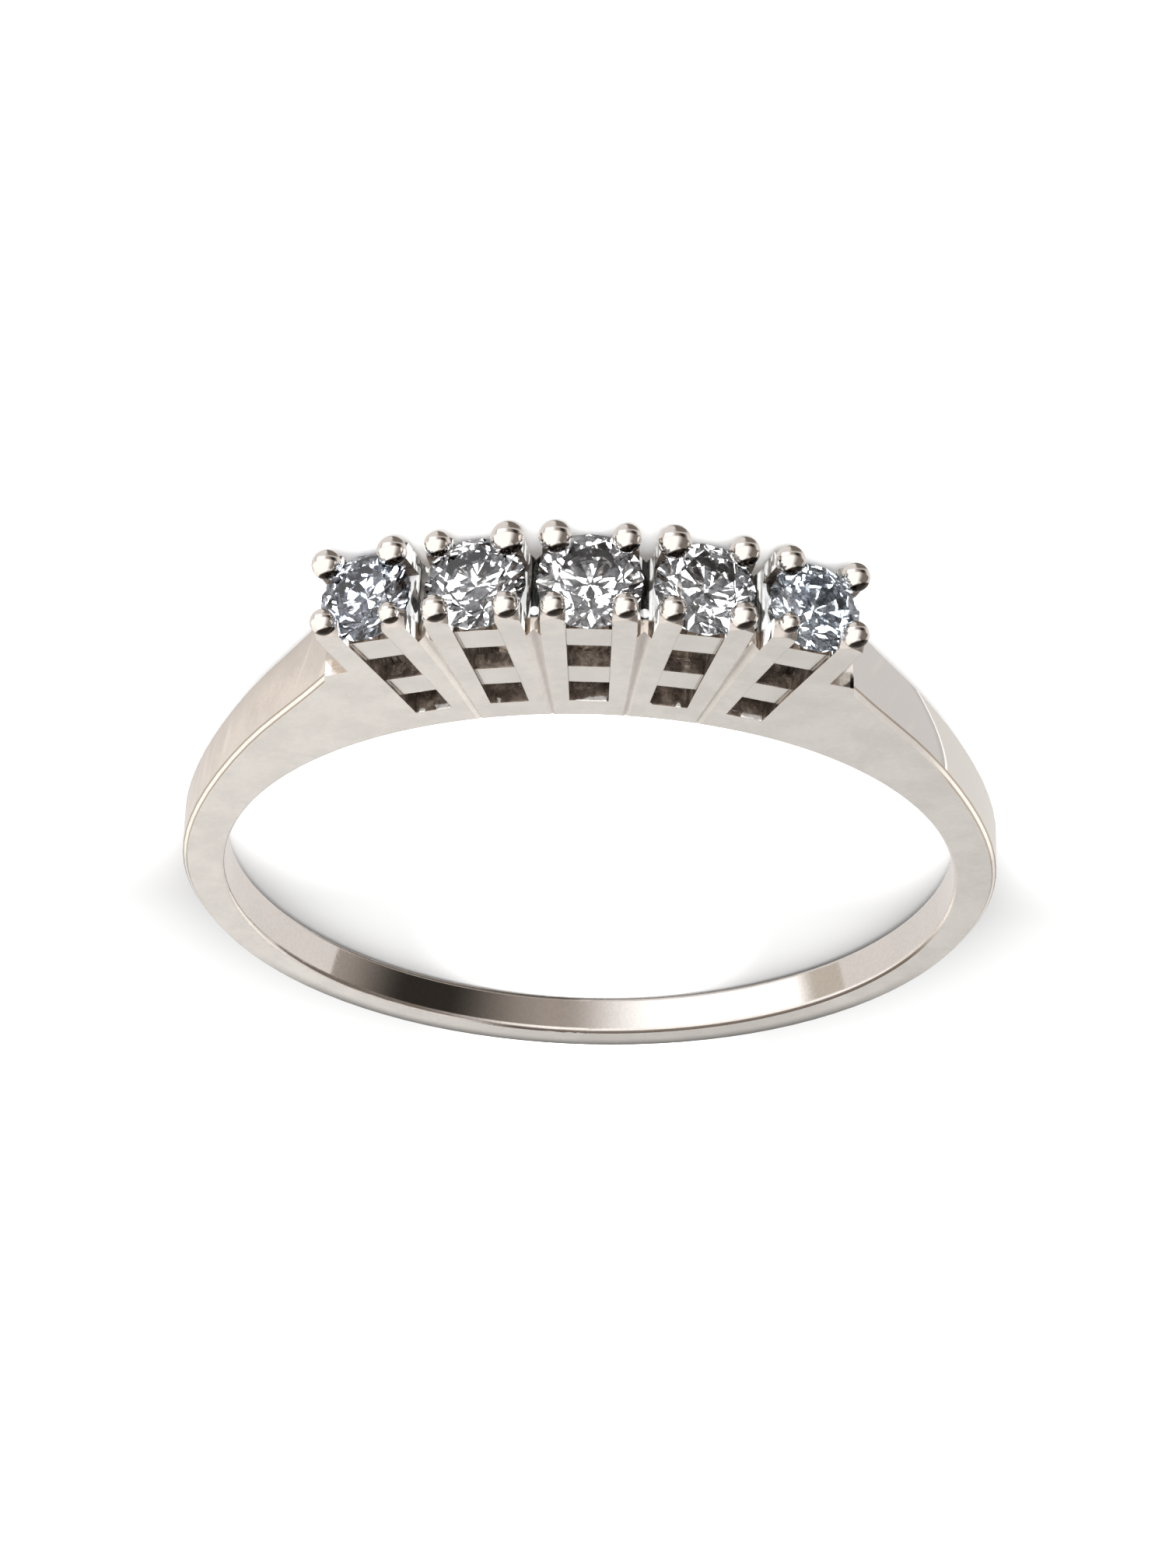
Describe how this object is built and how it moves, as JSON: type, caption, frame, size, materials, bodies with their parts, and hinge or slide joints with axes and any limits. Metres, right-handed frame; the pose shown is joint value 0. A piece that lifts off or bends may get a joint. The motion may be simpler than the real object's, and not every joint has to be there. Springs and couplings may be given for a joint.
{
  "type": "diamond band ring",
  "caption": "Slim finger ring of polished white gold with a row of round brilliant-cut diamonds held in claws over an open, windowed gallery.",
  "frame": {"origin": "centre of the finger hole, half way along it", "axes": "+Z along the finger towards the face that the picture shows, -Y through the middle diamond, +X towards the diamond numbered 5"},
  "size_m": [0.019, 0.0231, 0.0023],
  "materials": {
    "white_gold": "polished",
    "diamond": "faceted and polished"
  },
  "bodies": {
    "root": {"ring_mount": "white_gold", "diamond_1": "diamond", "diamond_2": "diamond", "diamond_3": "diamond", "diamond_4": "diamond", "diamond_5": "diamond"}
  },
  "joints": []
}
